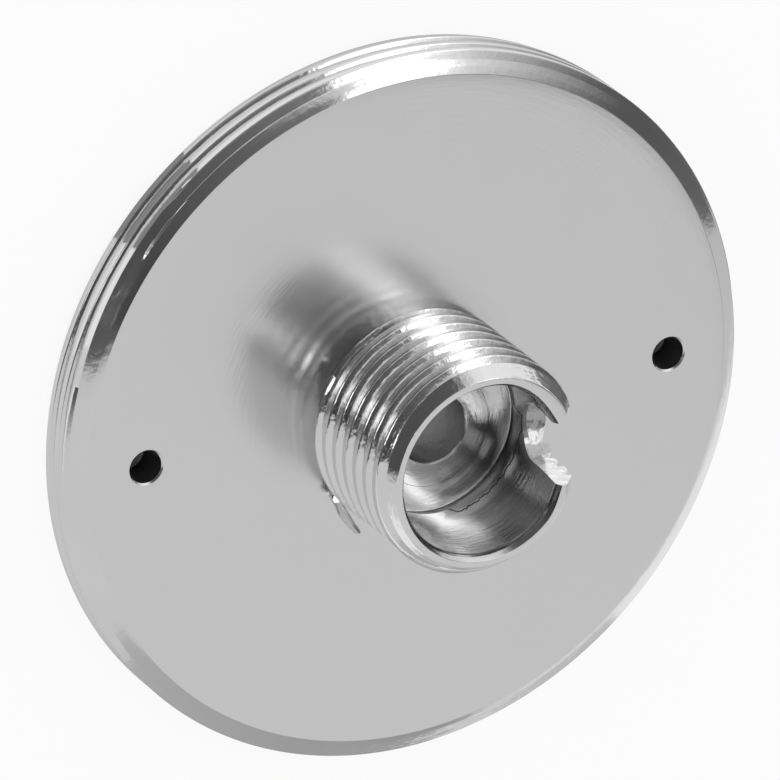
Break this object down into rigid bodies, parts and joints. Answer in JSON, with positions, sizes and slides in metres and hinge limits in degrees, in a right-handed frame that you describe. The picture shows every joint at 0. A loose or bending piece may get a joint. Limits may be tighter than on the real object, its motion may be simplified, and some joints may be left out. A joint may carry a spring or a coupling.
{
  "type": "fiber optic adapter",
  "caption": "Round metal adapter plate with a threaded rim, spanner holes and a short threaded barrel with a key slot that holds a fibre connector.",
  "frame": {"origin": "centre of the disc's flat back face, on the fibre axis", "axes": "+Z along the fibre axis towards the barrel's mouth, +X through the middle of the key slot and the spanner hole beside it, +Y completes a right-handed set"},
  "size_m": [0.0262, 0.0262, 0.0083],
  "materials": {
    "body_metal": "satin, fine turned grain"
  },
  "bodies": {
    "root": {"adapter_body": "body_metal"}
  },
  "joints": []
}
